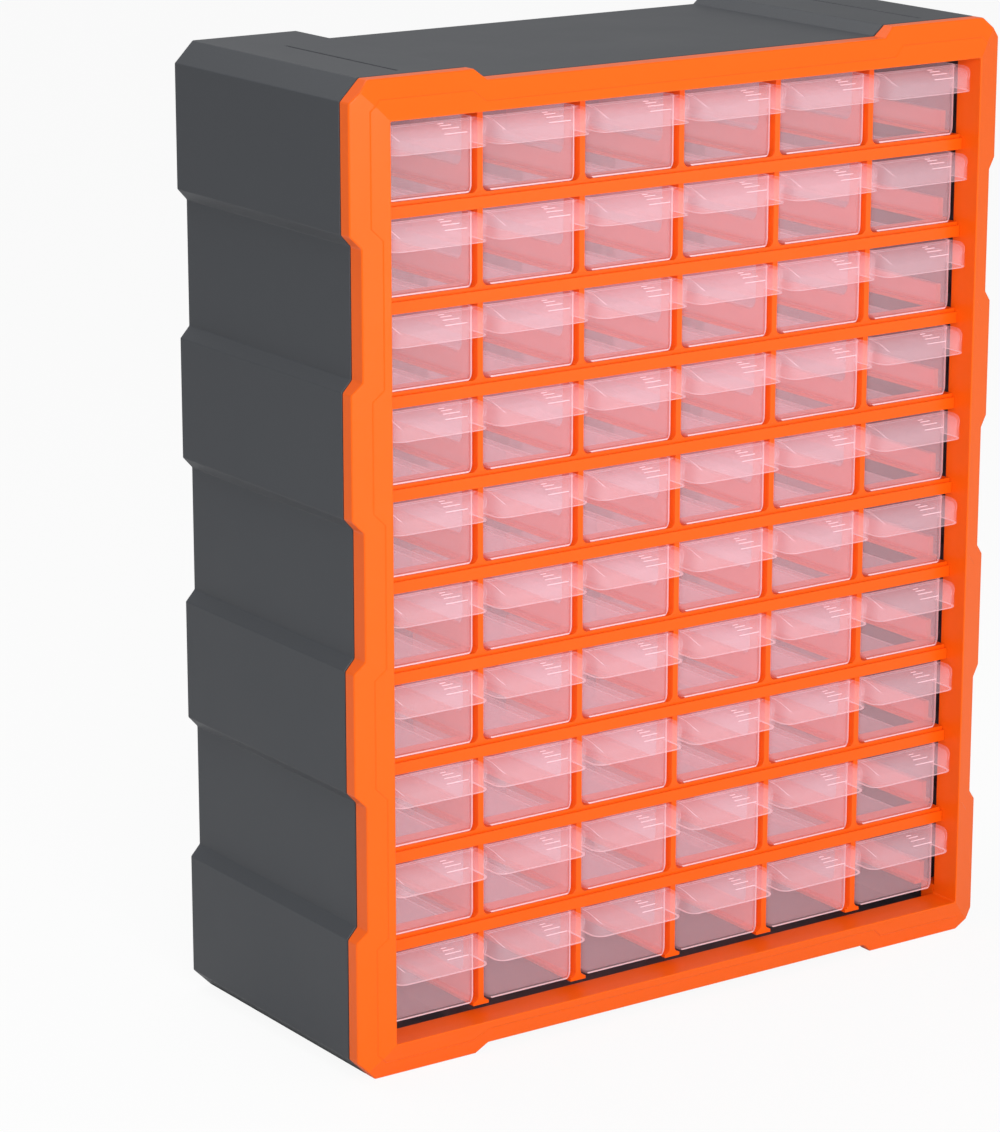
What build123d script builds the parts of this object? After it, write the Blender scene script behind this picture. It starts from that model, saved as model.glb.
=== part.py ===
from build123d import *
import os

# Parts bin cabinet: a dark grey casing, an orange front frame, an orange drawer
# grid with runner rails, and clear drawers in columns and rows.
# Millimetres. Origin: middle of the base, on the surface it stands on.
# X runs across the front, Y runs from the front to the back, Z is up.

# Overall
width = 380.0
depth = 160.0
height = 475.0
columns = 6
rows = 10

# Casing outline, the same for the front frame
corner_chamfer = 10.0
step_depth = 5.0
step_rise = 5.5
end_band = 70.0
middle_band = 59.0
middle_bands = 2
foot_length = 57.5
foot_slope = 6.0
foot_height = 5.0

# Casing
casing_wall = 2.2
stack_slot_length = 95.0
stack_slot_width = 1.4
stack_slot_from_side = 37.0
stack_slot_from_front = 8.0
hang_hole_diameter = 5.0
hang_hole_spacing = 300.0
hang_hole_drop = 40.0

# Front frame
side_margin = 17.5
end_margin = 18.5
face_slope = 7.5
rim_depth = 8.0
recess_wall_depth = 18.0
frame_wall = 2.2
crease_step = 0.4
crease_offset = 8.7
tongue_length = 8.0
tongue_wall = 1.6

# Drawer grid
bar_setback = 12.7
bar_height = 5.6
bar_drop = 1.7
end_bar_height = 4.0
divider_setback = 14.4
divider_depth = 13.0
divider_width = 3.0
divider_foot_radius = 3.0
ledge_width = 3.0
ledge_thickness = 1.6
rail_height = 10.0
rail_end_radius = 6.0

# Drawers
drawer_setback = 14.6
drawer_length = 138.0
drawer_wall = 1.2
drawer_bottom_radius = 4.0
drawer_corner_radius = 4.5
drawer_head_room = 1.8
hood_setback = 2.0
hood_drop = 11.6
hood_lip = 5.6
hood_flat = 4.4
hood_wall = 1.3
hood_end_radius = 5.75

# Clearances
fit_clearance = 0.2
joint_gap = 0.6
slide_clearance = 0.3
side_clearance = 0.8

# Places worked out from the sizes above
y_back = depth / 2
y_front = -depth / 2
y_shoulder = y_front + face_slope
y_rim = y_shoulder + rim_depth
y_casing = y_rim + joint_gap
y_casing_floor = y_back - casing_wall
y_recess = y_front + recess_wall_depth
y_bar = y_front + bar_setback
y_divider = y_front + divider_setback
y_grid_back = y_divider + divider_depth
y_rail_end = y_casing_floor - fit_clearance
y_drawer = y_front + drawer_setback
y_hood = y_front + hood_setback

opening_width = width - 2 * side_margin
opening_height = height - 2 * end_margin
column_pitch = opening_width / columns
row_pitch = opening_height / rows
cell_width = column_pitch - divider_width
cell_height = row_pitch - bar_height - bar_drop

drawer_width = cell_width - 2 * side_clearance
drawer_height = cell_height - slide_clearance - drawer_head_room
y_hood_flat = y_drawer - hood_flat
hood_fall = hood_drop - hood_lip
hood_curve = y_hood_flat - y_hood
hood_radius = (hood_curve**2 + hood_fall**2) / (2 * hood_fall)

tongue_inset = casing_wall + fit_clearance
rim_wall = tongue_inset + tongue_wall / 2
grid_inset = tongue_inset + tongue_wall + fit_clearance
grid_half_front = opening_width / 2 - fit_clearance
grid_reach_x = width / 2 - step_depth - grid_inset
grid_low_z = foot_height + grid_inset
grid_high_z = height - grid_low_z


def column_x(column):
    return (column - (columns - 1) / 2) * column_pitch


def bar_z(level):
    """Height of the middle of a bar."""
    return end_margin + level * row_pitch


def cell_floor_z(level):
    """Height of the ledges that carry a row, just above the bar below it."""
    return bar_z(level) + bar_height / 2 + bar_drop


def slab(face, y_from, y_to):
    """A flat shape drawn as the front sees it, made solid from y_from back to y_to."""
    return Pos(0, y_to, 0) * extrude(Plane.XZ * face, amount=y_to - y_from)


def block(x_from, x_to, y_from, y_to, z_from, z_to):
    size = (x_to - x_from, y_to - y_from, z_to - z_from)
    middle = ((x_from + x_to) / 2, (y_from + y_to) / 2, (z_from + z_to) / 2)
    return Pos(*middle) * Box(*size)


def outline(inset=0.0):
    """Front outline of the cabinet: chamfered corners, stepped sides and foot ridges."""
    half = width / 2
    inner = half - step_depth
    foot_end = half - corner_chamfer - foot_length
    side = [(half - corner_chamfer, 0), (half, corner_chamfer)]
    recesses = middle_bands + 1
    recess_pitch = (height - 2 * end_band - middle_bands * middle_band) / recesses
    for i in range(recesses):
        low = end_band + i * (recess_pitch + middle_band)
        high = low + recess_pitch
        side += [(half, low), (inner, low + step_rise), (inner, high - step_rise), (half, high)]
    side += [(half, height - corner_chamfer), (half - corner_chamfer, height)]
    bottom = [(foot_end - foot_slope, foot_height), (foot_end, 0)]
    top = [(foot_end, height), (foot_end - foot_slope, height - foot_height)]
    right = bottom + side + top
    left = [(-x, z) for x, z in reversed(right)]
    face = make_face(Polyline(*right, *left, close=True))
    if inset:
        face = offset(face, amount=-inset, kind=Kind.INTERSECTION)
    return face


def opening(margin=0.0):
    face = Rectangle(opening_width + 2 * margin, opening_height + 2 * margin)
    return Pos(0, height / 2) * face


def sloped_front(back_by):
    """The frame's sloping face as a solid, moved back by back_by."""
    near = Plane(origin=(0, y_front + back_by, height / 2), x_dir=(1, 0, 0), z_dir=(0, -1, 0))
    far = Plane(origin=(0, y_shoulder + back_by, height / 2), x_dir=(1, 0, 0), z_dir=(0, -1, 0))
    slope = loft([near * Rectangle(opening_width, opening_height), far * Rectangle(width, height)])
    behind = slab(Pos(0, height / 2) * Rectangle(width, height), y_shoulder + back_by, y_rim)
    return slope + behind


def make_casing():
    body = slab(outline(), y_casing, y_back)
    body -= slab(outline(casing_wall), y_casing, y_casing_floor)
    slot_x = width / 2 - stack_slot_from_side
    slot_y = y_casing + stack_slot_from_front
    for side in (-1, 1):
        body -= block(
            side * slot_x - stack_slot_width / 2,
            side * slot_x + stack_slot_width / 2,
            slot_y,
            slot_y + stack_slot_length,
            height - 2 * casing_wall,
            height + casing_wall,
        )
        hole = Rot(90, 0, 0) * Cylinder(hang_hole_diameter / 2, 4 * casing_wall)
        body -= Pos(side * hang_hole_spacing / 2, y_back, height - hang_hole_drop) * hole
    return body


def make_front_frame():
    body = slab(outline(), y_front, y_rim) & sloped_front(crease_step)
    body += slab(outline(crease_offset), y_front, y_rim) & sloped_front(0)
    hollow = slab(outline(rim_wall), y_front, y_rim) & sloped_front(frame_wall + crease_step)
    hollow -= slab(opening(frame_wall), y_front, y_rim)
    body -= hollow
    body += slab(opening(frame_wall), y_rim - frame_wall, y_recess)
    body -= slab(opening(), y_front, y_recess)
    tongue = outline(tongue_inset) - outline(tongue_inset + tongue_wall)
    body += slab(tongue, y_shoulder + frame_wall, y_rim + tongue_length)
    return body


def make_bar(level):
    """A bar across the front, with a raised rear part at the height of the ledges."""
    low = bar_z(level) - bar_height / 2
    high = low + bar_height
    floor = cell_floor_z(level)
    bar = block(-grid_half_front, grid_half_front, y_bar, y_divider, low, high)
    bar += block(-grid_half_front, grid_half_front, y_divider, y_recess, low, floor)
    return bar + block(-grid_reach_x, grid_reach_x, y_recess, y_grid_back, low, floor)


def make_foot_bar():
    """The hidden bar below the lowest row, with a post at each end for the side rails."""
    top = grid_low_z + end_bar_height
    bar = block(-grid_reach_x, grid_reach_x, y_recess, y_grid_back, grid_low_z, top)
    inner = opening_width / 2
    for x_from, x_to in ((-grid_reach_x, -inner), (inner, grid_reach_x)):
        bar += block(x_from, x_to, y_recess, y_grid_back, grid_low_z, cell_floor_z(0))
    return bar


def make_head_bar():
    low = grid_high_z - end_bar_height
    return block(-grid_reach_x, grid_reach_x, y_recess, y_grid_back, low, grid_high_z)


def divider_foot(side):
    """Front view of the rounded corner between a divider and the ledge level."""
    x = side * divider_width / 2
    corner = Rectangle(divider_foot_radius, divider_foot_radius)
    corner = Pos(x + side * divider_foot_radius / 2, divider_foot_radius / 2) * corner
    hollow = Pos(x + side * divider_foot_radius, divider_foot_radius)
    return corner - hollow * Circle(divider_foot_radius)


def make_divider(level):
    """The piece of a divider beside one row, centred on x = 0."""
    floor = cell_floor_z(level)
    low = floor
    high = bar_z(level + 1) - bar_height / 2
    hidden_low = low
    hidden_high = high
    if level == 0:
        low = end_margin + fit_clearance
        hidden_low = grid_low_z + end_bar_height
    if level == rows - 1:
        high = height - end_margin - fit_clearance
        hidden_high = grid_high_z - end_bar_height
    half = divider_width / 2
    divider = block(-half, half, y_divider, y_recess, low, high)
    divider += block(-half, half, y_recess, y_grid_back, hidden_low, hidden_high)
    for side in (-1, 1):
        divider += slab(Pos(0, floor) * divider_foot(side), y_divider, y_grid_back)
    if level == 0:
        reach = half + divider_foot_radius
        ledge_low = floor - ledge_thickness
        divider += block(-reach, reach, y_divider, y_grid_back, ledge_low, floor)
    return divider


def make_rail(with_fillet):
    """A runner rail, standing on its ledge level: a web with a ledge on each side."""
    half = divider_width / 2
    reach = half + ledge_width
    rail = block(-half, half, y_grid_back, y_rail_end, 0, rail_height)
    rail += block(-reach, reach, y_grid_back, y_rail_end, -ledge_thickness, 0)
    if with_fillet:
        top = rail_height + rail_end_radius
        corner = block(
            -half, half, y_grid_back, y_grid_back + rail_end_radius, rail_height, top
        )
        hollow = Rot(0, 90, 0) * Cylinder(rail_end_radius, 2 * divider_width)
        rail += corner - Pos(0, y_grid_back + rail_end_radius, top) * hollow
    return rail


def make_drawer_grid():
    """The grid, cut into straight lengths where its walls meet, each a solid of its own."""
    solids = [make_foot_bar(), make_head_bar()]
    solids += [make_bar(level) for level in range(1, rows)]
    middle_rail = make_rail(True)
    side_rail = make_rail(False)
    for level in range(rows):
        divider = make_divider(level)
        for line in range(columns + 1):
            x = (line - columns / 2) * column_pitch
            floor = cell_floor_z(level)
            if line in (0, columns):
                solids.append(Pos(x, 0, floor) * side_rail)
            else:
                solids.append(Pos(x, 0, floor) * middle_rail)
                solids.append(Pos(x, 0, 0) * divider)
    return Compound(children=[solid.solid() for solid in solids])


def tray_block(inset=0.0, top=drawer_height):
    """The tray as a full block: round corners seen from above, and along its lower sides."""
    wide = drawer_width - 2 * inset
    long = drawer_length - 2 * inset
    tall = top - inset
    y_middle = y_drawer + drawer_length / 2
    face = Pos(0, inset + tall / 2) * Rectangle(wide, tall)
    face = fillet(face.vertices().sort_by(Axis.Y)[:2], drawer_bottom_radius - inset)
    seen_from_front = slab(face, y_middle - long / 2, y_middle + long / 2)
    plan = Pos(0, y_middle) * RectangleRounded(wide, long, drawer_corner_radius - inset)
    return seen_from_front & extrude(plan, amount=top)


def hood_section(inset=0.0):
    """Side view of the pull hood: flat at the top, then curving down to a straight lip."""
    high = drawer_height - inset
    low = drawer_height - hood_drop
    y_near = y_hood + inset
    y_far = y_drawer + drawer_corner_radius
    reach = hood_curve - inset
    radius = hood_radius - inset
    fold = drawer_height - hood_radius + (radius**2 - reach**2) ** 0.5
    sides = Polyline((y_near, fold), (y_near, low), (y_far, low), (y_far, high), (y_hood_flat, high))
    curve = TangentArc((y_hood_flat, high), (y_near, fold), tangent=(-1, 0))
    return make_face(sides + curve)


def hood_block(inset=0.0):
    """The pull hood as a full block: its side view, rounded at both ends seen from above."""
    half = drawer_width / 2 - inset
    y_near = y_hood + inset
    y_far = y_drawer + drawer_corner_radius
    plan = Pos(0, (y_near + y_far) / 2) * Rectangle(2 * half, y_far - y_near)
    plan = fillet(plan.vertices().sort_by(Axis.Y)[:2], hood_end_radius - inset)
    side_plane = Plane(origin=(-half, 0, 0), x_dir=(0, 1, 0), z_dir=(1, 0, 0))
    side = extrude(side_plane * hood_section(inset), amount=2 * half)
    return side & extrude(plan, amount=drawer_height)


def make_drawer():
    """A drawer centred on x = 0 with its underside at z = 0."""
    tray = tray_block()
    hollow = tray_block(drawer_wall, drawer_height + drawer_wall)
    return tray + (hood_block() - (hood_block(hood_wall) - tray)) - hollow


os.makedirs("parts", exist_ok=True)

export_step(make_casing(), "parts/casing.step")
export_step(make_front_frame(), "parts/front_frame.step")
export_step(make_drawer_grid(), "parts/drawer_grid.step")

# Rows count from the top and columns from the left. The lowest row's drawers
# are written two to a file, as separate solids.
drawer = make_drawer()
for row in range(1, rows + 1):
    floor = cell_floor_z(rows - row) + slide_clearance
    placed = [Pos(column_x(column), 0, floor) * drawer for column in range(columns)]
    if row < rows:
        for column in range(columns):
            export_step(placed[column], f"parts/drawer_r{row:02d}_c{column + 1}.step")
    else:
        for column in range(0, columns, 2):
            pair = Compound(children=placed[column : column + 2])
            name = f"parts/drawer_pair_r{row:02d}_c{column + 1}_c{column + 2}.step"
            export_step(pair, name)
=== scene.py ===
import math

import bmesh
import bpy
from mathutils import Matrix, Vector


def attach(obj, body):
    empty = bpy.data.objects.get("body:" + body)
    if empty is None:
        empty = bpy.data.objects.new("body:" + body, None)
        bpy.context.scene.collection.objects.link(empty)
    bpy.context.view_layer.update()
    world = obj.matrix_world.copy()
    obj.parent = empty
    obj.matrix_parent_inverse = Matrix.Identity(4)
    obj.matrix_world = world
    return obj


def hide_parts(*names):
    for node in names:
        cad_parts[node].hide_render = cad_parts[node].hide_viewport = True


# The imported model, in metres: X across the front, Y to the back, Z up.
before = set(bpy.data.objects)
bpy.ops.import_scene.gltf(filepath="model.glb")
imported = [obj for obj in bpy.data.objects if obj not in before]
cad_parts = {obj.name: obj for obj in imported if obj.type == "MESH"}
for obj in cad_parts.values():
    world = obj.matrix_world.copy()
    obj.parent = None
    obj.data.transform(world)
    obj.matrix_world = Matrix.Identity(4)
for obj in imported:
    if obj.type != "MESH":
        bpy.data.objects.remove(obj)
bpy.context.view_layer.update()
mm = 0.001

# ---------------------------------------------------------------------------------
# Casing. One dark grey polypropylene shell, moulded with stepped sides, two foot
# ridges on the base and two above, thin stacking slots, and a closed back with two
# screw holes. Its edges are a little rounded and its skin is finely textured.
# ---------------------------------------------------------------------------------
width = 380 * mm
height = 475 * mm
corner_chamfer = 10 * mm
step_depth = 5 * mm
step_rise = 5.5 * mm
end_band = 70 * mm
middle_band = 59 * mm
foot_length = 57.5 * mm
foot_slope = 6 * mm
foot_height = 5 * mm
casing_front = -63.9 * mm
casing_back = 80 * mm
casing_wall = 2.2 * mm
slot_length = 95 * mm
slot_half_width = 0.7 * mm
slot_from_side = 37 * mm
slot_from_front = 8 * mm
screw_hole_radius = 2.5 * mm
screw_hole_from_middle = 150 * mm
screw_hole_drop = 40 * mm
stile = 17.5 * mm
end_stile = 18.5 * mm
opening_half_x = width / 2 - stile
opening_half_z = height / 2 - end_stile
casing_grey = (62, 65, 70)


def cabinet_outline(inset=0.0):
    """The stepped front outline as (x, z) points, drawn in by inset."""
    half = width / 2
    inner = half - step_depth
    foot_end = half - corner_chamfer - foot_length
    share = (stile + end_stile - corner_chamfer) / (stile + end_stile)
    low_corner = (opening_half_x + share * stile, end_stile * (1 - share))
    side = [(half - corner_chamfer, 0.0), low_corner, (half, corner_chamfer)]
    recess = (height - 2 * end_band - 2 * middle_band) / 3
    for i in range(3):
        low = end_band + i * (recess + middle_band)
        high = low + recess
        side += [(half, low), (inner, low + step_rise), (inner, high - step_rise), (half, high)]
    side += [(half, height - corner_chamfer), (low_corner[0], height - low_corner[1])]
    side += [(half - corner_chamfer, height)]
    bottom = [(foot_end - foot_slope, foot_height), (foot_end, 0.0)]
    top = [(foot_end, height), (foot_end - foot_slope, height - foot_height)]
    right = bottom + side + top
    points = [Vector(p) for p in right + [(-x, z) for x, z in reversed(right)]]
    drawn_in = []
    for i, here in enumerate(points):
        before = (here - points[i - 1]).normalized()
        after = (points[(i + 1) % len(points)] - here).normalized()
        left_a = Vector((-before.y, before.x))
        left_b = Vector((-after.y, after.x))
        drawn_in.append(here + (left_a + left_b) * inset / (1 + left_a.dot(left_b)))
    return [(p.x, p.y) for p in drawn_in]


def first_ring(bm, points):
    """A closed ring of edges through the given points."""
    ring = [bm.verts.new(p) for p in points]
    for a, b in zip(ring, ring[1:] + ring[:1]):
        bm.edges.new((a, b))
    return ring


def next_ring(bm, ring, points):
    """Extrudes a ring and sets the new one on the given points."""
    edges = [bm.edges.get(pair) for pair in zip(ring, ring[1:] + ring[:1])]
    made = bmesh.ops.extrude_edge_only(bm, edges=edges)["geom"]
    fresh = {v for v in made if isinstance(v, bmesh.types.BMVert)}
    follow = []
    for old in ring:
        follow += [e.other_vert(old) for e in old.link_edges if e.other_vert(old) in fresh]
    for vert, place in zip(follow, points):
        vert.co = place
    return follow


def at_depth(points, y):
    return [(x, y, z) for x, z in points]


def finished_mesh(bm, name, crisp=30):
    """Merges doubles, turns the faces outwards and stores the mesh, smooth up to the angle crisp."""
    bmesh.ops.remove_doubles(bm, verts=bm.verts, dist=0.01 * mm)
    bmesh.ops.recalc_face_normals(bm, faces=bm.faces)
    mesh = bpy.data.meshes.new(name)
    bm.to_mesh(mesh)
    bm.free()
    mesh.shade_smooth()
    mesh.set_sharp_from_angle(angle=math.radians(crisp))
    return mesh


def placed(mesh, name):
    piece = bpy.data.objects.new(name, mesh)
    bpy.context.scene.collection.objects.link(piece)
    return piece


def round_edges(piece, size, steps, angle=30):
    soften = piece.modifiers.new("rounded_edges", "BEVEL")
    soften.width = size
    soften.segments = steps
    soften.limit_method = "ANGLE"
    soften.angle_limit = math.radians(angle)
    soften.harden_normals = True
    return soften


def cut_away(piece, cutters):
    """Cuts the cutters out of the piece and keeps the result as the piece's own mesh."""
    for cutter in cutters:
        cut = piece.modifiers.new("cut", "BOOLEAN")
        cut.object = cutter
        cut.operation = "DIFFERENCE"
        cut.solver = "EXACT"
    bpy.context.view_layer.update()
    graph = bpy.context.evaluated_depsgraph_get()
    mesh = bpy.data.meshes.new_from_object(piece.evaluated_get(graph))
    piece.modifiers.clear()
    piece.data = mesh
    for cutter in cutters:
        bpy.data.objects.remove(cutter)


def box_between(bm, low, high):
    """A box between its lowest and its highest corner."""
    middle = [(a + b) / 2 for a, b in zip(low, high)]
    size = [b - a for a, b in zip(low, high)]
    place = Matrix.Translation(middle) @ Matrix.Diagonal((*size, 1))
    bmesh.ops.create_cube(bm, size=1, matrix=place)


def linear(colour):
    """A display colour, 0 to 255, as the linear value that a shader takes."""
    return [((c / 255 + 0.055) / 1.055) ** 2.4 if c > 10 else c / 255 / 12.92 for c in colour]


def moulded_plastic(name, colour, roughness, grain_size, grain_depth, tone, shine=0.5):
    """Moulded plastic: an even colour that drifts a little, fine skin texture, soft flow marks."""
    material = bpy.data.materials.new(name)
    material.use_nodes = True
    nodes, links = material.node_tree.nodes, material.node_tree.links
    shader = nodes["Principled BSDF"]
    place = nodes.new("ShaderNodeTexCoord")
    drift = nodes.new("ShaderNodeTexNoise")
    drift.inputs["Scale"].default_value = 14
    drift.inputs["Detail"].default_value = 3
    links.new(place.outputs["Object"], drift.inputs["Vector"])
    shade = nodes.new("ShaderNodeMix")
    shade.data_type = "RGBA"
    base = linear(colour)
    shade.inputs["A"].default_value = (*[c * (1 - tone) for c in base], 1)
    shade.inputs["B"].default_value = (*[min(1, c * (1 + tone)) for c in base], 1)
    links.new(drift.outputs["Fac"], shade.inputs["Factor"])
    links.new(shade.outputs["Result"], shader.inputs["Base Color"])
    polish = nodes.new("ShaderNodeMapRange")
    polish.inputs["To Min"].default_value = roughness * 0.85
    polish.inputs["To Max"].default_value = roughness * 1.15
    links.new(drift.outputs["Fac"], polish.inputs["Value"])
    links.new(polish.outputs["Result"], shader.inputs["Roughness"])
    grain = nodes.new("ShaderNodeTexNoise")
    grain.inputs["Scale"].default_value = 1 / grain_size
    grain.inputs["Detail"].default_value = 2
    links.new(place.outputs["Object"], grain.inputs["Vector"])
    skin = nodes.new("ShaderNodeBump")
    skin.inputs["Strength"].default_value = 0.5
    skin.inputs["Distance"].default_value = grain_depth
    links.new(grain.outputs["Fac"], skin.inputs["Height"])
    links.new(skin.outputs["Normal"], shader.inputs["Normal"])
    shader.inputs["IOR"].default_value = 1.49
    shader.inputs["Specular IOR Level"].default_value = shine
    return material


bm = bmesh.new()
ring = first_ring(bm, at_depth(cabinet_outline(casing_wall), casing_back - casing_wall))
bmesh.ops.contextual_create(bm, geom=ring)
ring = next_ring(bm, ring, at_depth(cabinet_outline(casing_wall), casing_front))
ring = next_ring(bm, ring, at_depth(cabinet_outline(), casing_front))
ring = next_ring(bm, ring, at_depth(cabinet_outline(), casing_back))
bmesh.ops.contextual_create(bm, geom=ring)
casing = placed(finished_mesh(bm, "casing_shell"), "casing_shell")

bm = bmesh.new()
for side in (-1, 1):
    slot_x = side * (width / 2 - slot_from_side)
    slot_y = casing_front + slot_from_front
    box_between(
        bm,
        (slot_x - slot_half_width, slot_y, height - 2 * casing_wall),
        (slot_x + slot_half_width, slot_y + slot_length, height + casing_wall),
    )
    hole_place = (side * screw_hole_from_middle, casing_back, height - screw_hole_drop)
    bmesh.ops.create_cone(
        bm,
        cap_ends=True,
        segments=32,
        radius1=screw_hole_radius,
        radius2=screw_hole_radius,
        depth=4 * casing_wall,
        matrix=Matrix.Translation(hole_place) @ Matrix.Rotation(math.pi / 2, 4, "X"),
    )
cut_away(casing, [placed(finished_mesh(bm, "casing_cuts"), "casing_cuts")])
round_edges(casing, 0.5 * mm, 2)
casing.data.materials.clear()
casing.data.materials.append(
    moulded_plastic("fine_textured_grey", casing_grey, 0.5, 0.7 * mm, 0.08 * mm, 0.05)
)
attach(casing, "cabinet")
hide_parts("casing")

# ---------------------------------------------------------------------------------
# Front frame. One orange moulding: a sloping face that follows the casing's outline,
# with a faint crease halfway, a smooth wall round the opening, a narrow side band,
# and a tongue behind that plugs into the casing.
# ---------------------------------------------------------------------------------
frame_front = -80 * mm
face_slope = 7.5 * mm
rim_back = -64.5 * mm
recess_back = -62 * mm
crease_inset = 8.7 * mm
crease_step = 0.4 * mm
crease_width = 0.5 * mm
recess_wall = 2.2 * mm
tongue_inset = 2.4 * mm
tongue_wall = 1.6 * mm
tongue_length = 8 * mm
frame_orange = (246, 100, 12)


def face_depth(x, z):
    """Where the sloping face lies at a place of the front view."""
    across = (abs(x) - opening_half_x) / stile
    along = (abs(z - height / 2) - opening_half_z) / end_stile
    return frame_front + face_slope * max(across, along, 0)


def opening_ring(margin=0.0):
    """The outline's points drawn in onto the rectangle of the opening."""
    half_x, half_z = opening_half_x + margin, opening_half_z + margin
    points = []
    for x, z in cabinet_outline():
        rise = z - height / 2
        if (abs(x) - opening_half_x) / stile > (abs(rise) - opening_half_z) / end_stile:
            x = math.copysign(half_x, x)
            rise = max(-half_z, min(half_z, rise))
        else:
            rise = math.copysign(half_z, rise)
            x = max(-half_x, min(half_x, x))
        points.append((x, height / 2 + rise))
    return points


def on_face(points, back_by):
    return [(x, face_depth(x, z) + back_by, z) for x, z in points]


# The rings run from the face's outer edge in to the opening, through it, and back
# outwards behind the face, round the tongue, to where they started.
bm = bmesh.new()
outer = cabinet_outline()
crease = cabinet_outline(crease_inset)
tongue_out = cabinet_outline(tongue_inset)
tongue_in = cabinet_outline(tongue_inset + tongue_wall)
rings = [
    on_face(outer, crease_step),
    on_face(crease, crease_step),
    on_face(cabinet_outline(crease_inset + crease_width), 0),
    on_face(opening_ring(), 0),
    at_depth(opening_ring(), recess_back),
    at_depth(opening_ring(recess_wall), recess_back),
    at_depth(opening_ring(recess_wall), rim_back),
    at_depth(tongue_in, rim_back),
    at_depth(tongue_in, rim_back + tongue_length),
    at_depth(tongue_out, rim_back + tongue_length),
    at_depth(tongue_out, rim_back),
    at_depth(outer, rim_back),
    on_face(outer, crease_step),
]
ring = first_ring(bm, rings[0])
for points in rings[1:]:
    ring = next_ring(bm, ring, points)
bezel = placed(finished_mesh(bm, "front_frame_moulding", crisp=15), "front_frame_moulding")
round_edges(bezel, 0.9 * mm, 3, angle=40)
bezel.data.materials.append(
    moulded_plastic("satin_orange_frame", frame_orange, 0.34, 1.6 * mm, 0.03 * mm, 0.03, 0.25)
)
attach(bezel, "cabinet")
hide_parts("front_frame")

# ---------------------------------------------------------------------------------
# Drawer grid. The same orange plastic: nine bars and five rows of dividers behind the
# opening, with fillets where a divider meets the ledge, and T-shaped runner rails that
# go back to the casing's rear wall under both lower edges of every drawer.
# ---------------------------------------------------------------------------------
columns = 6
rows = 10
column_pitch = 2 * opening_half_x / columns
row_pitch = 2 * opening_half_z / rows
bar_front = -67.3 * mm
divider_front = -65.6 * mm
grid_back = -52.6 * mm
rail_end = 77.6 * mm
bar_height = 5.6 * mm
ledge_rise = 1.7 * mm
divider_width = 3 * mm
foot_radius = 3 * mm
ledge_reach = 4.5 * mm
ledge_thickness = 1.6 * mm
rail_height = 10 * mm
rail_radius = 6 * mm
end_bar_height = 4 * mm
fit_gap = 0.2 * mm
grid_inset = tongue_inset + tongue_wall + fit_gap
grid_half_front = opening_half_x - fit_gap
grid_half_back = width / 2 - step_depth - grid_inset
grid_low = foot_height + grid_inset
grid_high = height - grid_low
grid_orange = (246, 96, 10)


def bar_middle(level):
    return end_stile + level * row_pitch


def ledge_level(level):
    """Height of the ledges that carry a row, counted from the lowest."""
    return bar_middle(level) + bar_height / 2 + ledge_rise


def quarter(centre, radius, start, steps=5):
    """Points of a quarter circle, from the angle start, anticlockwise."""
    angles = [start + math.pi / 2 * i / steps for i in range(steps + 1)]
    return [(centre[0] + radius * math.cos(a), centre[1] + radius * math.sin(a)) for a in angles]


def pushed(bm, corners, travel):
    """A flat shape through the corners, extruded along travel."""
    face = bm.faces.new([bm.verts.new(c) for c in corners])
    moved = bmesh.ops.extrude_face_region(bm, geom=[face])["geom"]
    verts = [v for v in moved if isinstance(v, bmesh.types.BMVert)]
    bmesh.ops.translate(bm, vec=travel, verts=verts)


bm = bmesh.new()
for level in range(1, rows):
    low = bar_middle(level) - bar_height / 2
    high = low + bar_height
    profile = [(grid_back, low), (bar_front, low), (bar_front, high), (divider_front, high)]
    profile += [(divider_front, ledge_level(level)), (grid_back, ledge_level(level))]
    pushed(bm, [(-grid_half_front, y, z) for y, z in profile], (2 * grid_half_front, 0, 0))
for low in (grid_low, grid_high - end_bar_height):
    high = low + end_bar_height
    box_between(bm, (-grid_half_back, recess_back, low), (grid_half_back, grid_back, high))
for level in range(rows):
    floor = ledge_level(level)
    low = floor - ledge_thickness if level == 0 else floor
    top = bar_middle(level + 1) - bar_height / 2
    if level == rows - 1:
        top = height - end_stile - fit_gap
    half = divider_width / 2
    foot = half + foot_radius
    right_foot = quarter((foot, floor + foot_radius), foot_radius, math.pi)[::-1]
    left_foot = [(-x, z) for x, z in reversed(right_foot)]
    front_view = right_foot + [(half, top), (-half, top)] + left_foot
    if low < floor:
        front_view += [(-foot, low), (foot, low)]
    for line in range(1, columns):
        x = (line - columns / 2) * column_pitch
        corners = [(x + a, divider_front, z) for a, z in front_view]
        pushed(bm, corners, (0, grid_back - divider_front, 0))
    for line in range(columns + 1):
        x = (line - columns / 2) * column_pitch
        section = [(-half, rail_height), (-half, 0), (-ledge_reach, 0)]
        section += [(-ledge_reach, -ledge_thickness), (ledge_reach, -ledge_thickness)]
        section += [(ledge_reach, 0), (half, 0), (half, rail_height)]
        corners = [(x + a, grid_back, floor + z) for a, z in section]
        pushed(bm, corners, (0, rail_end - grid_back, 0))
        if line in (0, columns):
            continue
        bend = quarter(
            (grid_back + rail_radius, floor + rail_height + rail_radius), rail_radius, math.pi
        )
        side_view = [(grid_back, floor + rail_height)] + bend[::-1]
        pushed(bm, [(x - half, y, z) for y, z in side_view], (divider_width, 0, 0))
for end in (-1, 1):
    inner, outer_x = sorted((end * opening_half_x, end * grid_half_back))
    box_between(bm, (inner, recess_back, grid_low), (outer_x, grid_back, ledge_level(0)))
grid = placed(finished_mesh(bm, "drawer_grid_moulding"), "drawer_grid_moulding")
round_edges(grid, 0.3 * mm, 2, angle=50)
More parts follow.
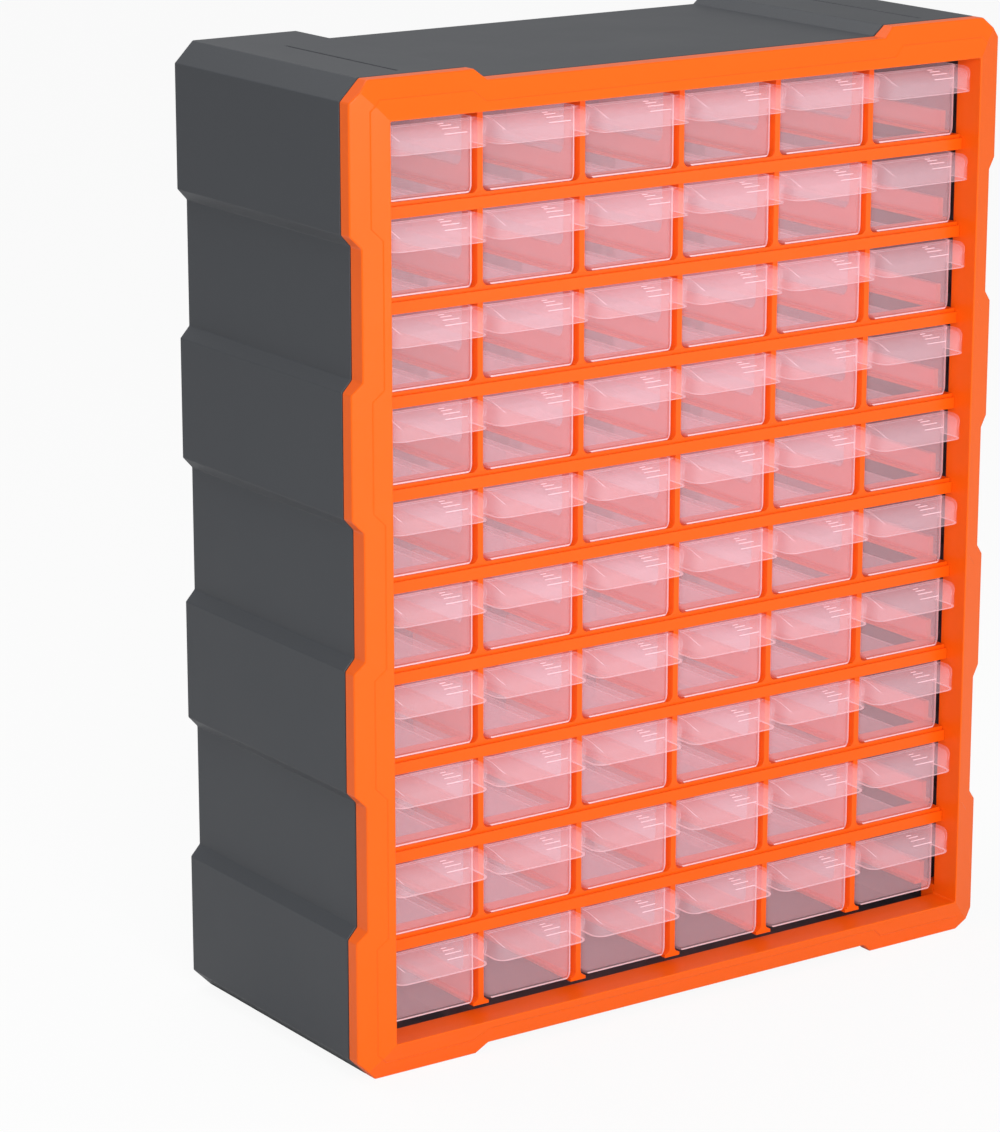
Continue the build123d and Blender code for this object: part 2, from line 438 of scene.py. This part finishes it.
grid.data.materials.append(
    moulded_plastic("satin_orange_grid", grid_orange, 0.32, 1.6 * mm, 0.03 * mm, 0.03, 0.25)
)
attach(grid, "cabinet")
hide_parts("drawer_grid")

# ---------------------------------------------------------------------------------
# Drawers. Sixty clear, slightly milky trays, each moulded in one with its pull: a
# full-width hood, flat at the top, then curving down to a straight lip, open below
# for a fingertip, with four short grip ridges on the curve.
# ---------------------------------------------------------------------------------
tray_front = -65.4 * mm
tray_length = 138 * mm
tray_half = 26.45 * mm
tray_height = 34.4 * mm
tray_wall = 1.2 * mm
tray_bottom_radius = 4 * mm
tray_corner_radius = 4.5 * mm
hood_front = -78 * mm
hood_flat_front = tray_front - 4.4 * mm
lip_low = tray_height - 11.6 * mm
lip_high = lip_low + 5.6 * mm
hood_wall = 1.3 * mm
hood_end_radius = 5.75 * mm
hood_fall = tray_height - lip_high
hood_radius = ((hood_flat_front - hood_front) ** 2 + hood_fall**2) / (2 * hood_fall)
slide_gap = 0.3 * mm
# The drawers' pink tint is a painted reflection of the orange frame and grid on milky clear plastic.
milky_tint_painted_orange_bounce = (250, 206, 216)
edge_tint_painted_highlight = (255, 222, 230)
painted_glow = (240, 206, 216)
wall_opacity = 0.12
side_opacity = 0.22
edge_opacity = 0.6


def rounded_plan(half_x, half_y, radius):
    """A rectangle with round corners, seen from above, round the tray's middle."""
    middle = tray_front + tray_length / 2
    points = []
    for turn, (sx, sy) in enumerate(((1, 1), (-1, 1), (-1, -1), (1, -1))):
        centre = (sx * (half_x - radius), middle + sy * (half_y - radius))
        points += quarter(centre, radius, turn * math.pi / 2, steps=4)
    return points


def tray_ring(inset, lift, z):
    """A level ring of the tray's wall: inset from the outside, lift above its own bottom."""
    radius = tray_bottom_radius - inset
    drawn_in = radius - math.sqrt(radius**2 - (radius - min(lift, radius)) ** 2)
    corner = max(tray_corner_radius - inset - drawn_in, 0.35 * mm)
    plan = rounded_plan(tray_half - inset - drawn_in, tray_length / 2 - inset, corner)
    return [(x, y, z) for x, y in plan]


def roof_height(y):
    """Height of the hood's outside at a distance from the front."""
    if y >= hood_flat_front:
        return tray_height
    return tray_height - hood_radius + math.sqrt(hood_radius**2 - (hood_flat_front - y) ** 2)


def hood_shell(bm):
    """The hood's outside as one sheet, from the fold back to the tray, then down its walls."""
    corner_y = hood_front + hood_end_radius
    stations = []
    for i in range(9):
        angle = math.pi / 2 * i / 8
        reach = tray_half - hood_end_radius + hood_end_radius * math.sin(angle)
        stations.append((reach, corner_y - hood_end_radius * math.cos(angle)))
    stations += [(tray_half, hood_flat_front - 1.2 * mm), (tray_half, hood_flat_front)]
    stations += [(tray_half, tray_front), (tray_half, tray_front + tray_corner_radius)]
    left, right = [], []
    for reach, y in stations:
        left.append(bm.verts.new((-reach, y, roof_height(y))))
        right.append(bm.verts.new((reach, y, roof_height(y))))
    for i in range(len(stations) - 1):
        if stations[i][1] < tray_front - 0.1 * mm:
            bm.faces.new((left[i], right[i], right[i + 1], left[i + 1]))
    border = left[::-1] + right
    for a, b in zip(border, border[1:]):
        if bm.edges.get((a, b)) is None:
            bm.edges.new((a, b))
    edges = [bm.edges.get(pair) for pair in zip(border, border[1:])]
    made = bmesh.ops.extrude_edge_only(bm, edges=edges)["geom"]
    for vert in made:
        if isinstance(vert, bmesh.types.BMVert):
            vert.co.z = lip_low


bm = bmesh.new()
lifts = [tray_bottom_radius * (1 - math.cos(math.pi / 2 * i / 5)) for i in range(6)]
ring = first_ring(bm, tray_ring(0, 0, 0))
bmesh.ops.contextual_create(bm, geom=ring)
for lift in lifts[1:]:
    ring = next_ring(bm, ring, tray_ring(0, lift, lift))
ring = next_ring(bm, ring, tray_ring(0, tray_bottom_radius, tray_height))
ring = next_ring(bm, ring, tray_ring(tray_wall, tray_bottom_radius, tray_height))
inner_radius = tray_bottom_radius - tray_wall
for i in range(5, -1, -1):
    lift = inner_radius * (1 - math.cos(math.pi / 2 * i / 5))
    ring = next_ring(bm, ring, tray_ring(tray_wall, lift, tray_wall + lift))
bmesh.ops.contextual_create(bm, geom=ring)
tray_mesh = finished_mesh(bm, "drawer_tray")

bm = bmesh.new()
hood_shell(bm)
bmesh.ops.recalc_face_normals(bm, faces=bm.faces)
hood_mesh = finished_mesh(bm, "drawer_hood")
hood = placed(hood_mesh, "drawer_hood")
thicken = hood.modifiers.new("hood_wall", "SOLIDIFY")
thicken.thickness = hood_wall
thicken.offset = -1
thicken.use_even_offset = True
bpy.context.view_layer.update()
graph = bpy.context.evaluated_depsgraph_get()
hood_solid = bpy.data.meshes.new_from_object(hood.evaluated_get(graph))
bpy.data.objects.remove(hood)

bm = bmesh.new()
bm.from_mesh(tray_mesh)
bm.from_mesh(hood_solid)
for i in range(4):
    half_length = (1.6 + 1.5 * i) * mm
    y = hood_flat_front - (1.6 + 1.9 * i) * mm
    ridge = bmesh.ops.create_cube(bm, size=1)["verts"]
    tilt = math.atan2(hood_flat_front - y, roof_height(y) - tray_height + hood_radius)
    place = Matrix.Translation((1.5 * mm + half_length, y, roof_height(y)))
    size = Matrix.Diagonal((2 * half_length, 0.4 * mm, 0.3 * mm, 1))
    bmesh.ops.transform(bm, matrix=place @ Matrix.Rotation(tilt, 4, "X") @ size, verts=ridge)
    # The grip ridges take the edge material, whose lighter colour is a painted highlight.
    for face in {face for vert in ridge for face in vert.link_faces}:
        face.material_index = 1
drawer_mesh = finished_mesh(bm, "drawer")

milky = moulded_plastic("milky_clear_painted_glow", milky_tint_painted_orange_bounce, 0.2, 3 * mm, 0.02 * mm, 0.02)
bright_edge = moulded_plastic("thick_clear_edge_painted_highlight", edge_tint_painted_highlight, 0.15, 3 * mm, 0.02 * mm, 0.02)
milky_side = moulded_plastic("milky_side_wall_painted_glow", milky_tint_painted_orange_bounce, 0.25, 3 * mm, 0.02 * mm, 0.02)
finishes = ((milky, wall_opacity), (bright_edge, edge_opacity), (milky_side, side_opacity))
for material, opacity in finishes:
    shader = material.node_tree.nodes["Principled BSDF"]
    shader.inputs["Alpha"].default_value = opacity
    # Every drawer material glows faintly: painted light, standing in for light scattered inside the
    # cabinet and the plastic.
    shader.inputs["Emission Color"].default_value = (*linear(painted_glow), 1)
    shader.inputs["Emission Strength"].default_value = 0.19
    drawer_mesh.materials.append(material)

# The long side walls look milkier than the thin front. Where a wall's end is seen through the front
# wall, and along the lip's and the rim's edges, the plastic is thick and more opaque; the lighter
# edge colour there is a painted highlight.
for face in drawer_mesh.polygons:
    middle, normal = face.center, face.normal
    if abs(normal.x) > 0.8 and middle.y > tray_front + tray_corner_radius:
        face.material_index = 2
    lip_edge = normal.z < -0.8 and abs(middle.z - lip_low) < 0.1 * mm
    top_edge = normal.z > 0.8 and middle.z > tray_height - 0.1 * mm and middle.y > tray_front
    if lip_edge or top_edge:
        face.material_index = 1
    if abs(middle.y - tray_front) > tray_corner_radius or middle.z > tray_height - 0.5 * mm:
        continue
    if middle.y < tray_front - 0.1 * mm:
        continue
    thick_side_painted_highlight = normal.x > 0.3 and normal.y < -0.1
    thick_foot_painted_highlight = normal.y < -0.9 and middle.z < 1.0 * mm
    if thick_side_painted_highlight or thick_foot_painted_highlight:
        face.material_index = 1
for row in range(1, rows + 1):
    for column in range(columns):
        x = (column - (columns - 1) / 2) * column_pitch
        z = ledge_level(rows - row) + slide_gap
        mesh = drawer_mesh.copy()
        mesh.transform(Matrix.Translation((x, 0, z)))
        drawer = placed(mesh, f"clear_drawer_r{row:02d}_c{column + 1}")
        # The rounded edges take the edge material: a painted highlight along them.
        round_edges(drawer, 0.3 * mm, 2, angle=35).material = 1
        body = f"drawer_r{row:02d}_c{column + 1}"
        if row == rows:
            first = column - column % 2 + 1
            body = f"drawer_pair_r{row:02d}_c{first}_c{first + 1}"
        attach(drawer, body)
        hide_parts(body)

# ---------------------------------------------------------------------------------
# Floor and surround. White paper under the cabinet, which keeps a soft shadow, and an
# even white surround that also shows through the clear drawers.
# ---------------------------------------------------------------------------------
bm = bmesh.new()
bmesh.ops.create_grid(bm, x_segments=1, y_segments=1, size=6)
bmesh.ops.translate(bm, vec=(0, 0, -0.2 * mm), verts=bm.verts)
floor = placed(finished_mesh(bm, "studio_floor"), "studio_floor")
paper = bpy.data.materials.new("white_paper")
paper.use_nodes = True
nodes, links = paper.node_tree.nodes, paper.node_tree.links
nodes.clear()
matte = nodes.new("ShaderNodeBsdfDiffuse")
matte.inputs["Color"].default_value = (0.82, 0.82, 0.82, 1)
bright = nodes.new("ShaderNodeEmission")
seen = nodes.new("ShaderNodeLightPath")
part = nodes.new("ShaderNodeMath")
part.operation = "MULTIPLY"
part.inputs[1].default_value = 0.92
links.new(seen.outputs["Is Camera Ray"], part.inputs[0])
blend = nodes.new("ShaderNodeMixShader")
surface = nodes.new("ShaderNodeOutputMaterial")
links.new(part.outputs[0], blend.inputs[0])
links.new(matte.outputs[0], blend.inputs[1])
links.new(bright.outputs[0], blend.inputs[2])
links.new(blend.outputs[0], surface.inputs["Surface"])
floor.data.materials.append(paper)

sky = bpy.data.worlds.new("white_surround")
bpy.context.scene.world = sky
sky.use_nodes = True
nodes, links = sky.node_tree.nodes, sky.node_tree.links
background = nodes["Background"]
background.inputs["Color"].default_value = (1, 1, 1, 1)
rays = nodes.new("ShaderNodeLightPath")
direct = nodes.new("ShaderNodeMath")
direct.operation = "MAXIMUM"
links.new(rays.outputs["Is Camera Ray"], direct.inputs[0])
links.new(rays.outputs["Is Transmission Ray"], direct.inputs[1])
strength = nodes.new("ShaderNodeMapRange")
strength.inputs["To Min"].default_value = 0.45
strength.inputs["To Max"].default_value = 1.0
links.new(direct.outputs[0], strength.inputs["Value"])
links.new(strength.outputs["Result"], background.inputs["Strength"])


# ---------------------------------------------------------------------------------
# Lamps. Large soft boxes, as for a catalogue picture: the main one in front on the
# left, a weak one on the right, and one above and behind for the casing's top.
# ---------------------------------------------------------------------------------
def soft_lamp(name, place, target, size, power):
    light = bpy.data.lights.new(name, "AREA")
    light.shape = "SQUARE"
    light.size = size
    light.energy = power
    lamp = bpy.data.objects.new(name, light)
    lamp.location = place
    aim = Vector(target) - Vector(place)
    lamp.rotation_euler = aim.to_track_quat("-Z", "Y").to_euler()
    bpy.context.scene.collection.objects.link(lamp)


soft_lamp("main_softbox", (-0.75, -1.7, 0.85), (-0.05, 0, 0.25), 0.9, 25)
soft_lamp("fill_softbox", (0.9, -1.8, 0.5), (0, 0, 0.2), 1.2, 6)
soft_lamp("top_softbox", (-0.2, 0.5, 1.6), (0, 0, 0.4), 0.9, 7)

# ---------------------------------------------------------------------------------
# Camera. A long lens from the front left and a little above, as in the photograph,
# placed by fitting the cabinet's edges and corners in a picture of 1000 x 1132.
# ---------------------------------------------------------------------------------
photo_long_side = 1132
lens_in_pixels = 4118.7
camera_data = bpy.data.cameras.new("photo_camera")
camera_data.sensor_fit = "AUTO"
camera_data.sensor_width = 36
camera_data.lens = lens_in_pixels * camera_data.sensor_width / photo_long_side
camera_data.clip_start = 0.05
camera_data.clip_end = 50
camera = bpy.data.objects.new("photo_camera", camera_data)
camera.location = (-1.1632, -1.5999, 0.7476)
camera.rotation_euler = (math.radians(74.73), 0, math.radians(-34.62))
bpy.context.scene.collection.objects.link(camera)
bpy.context.scene.camera = camera
bpy.context.scene.view_settings.view_transform = "Standard"
# Looking along a row passes through the walls of many clear drawers.
bpy.context.scene.cycles.transparent_max_bounces = 20

bpy.context.view_layer.update()
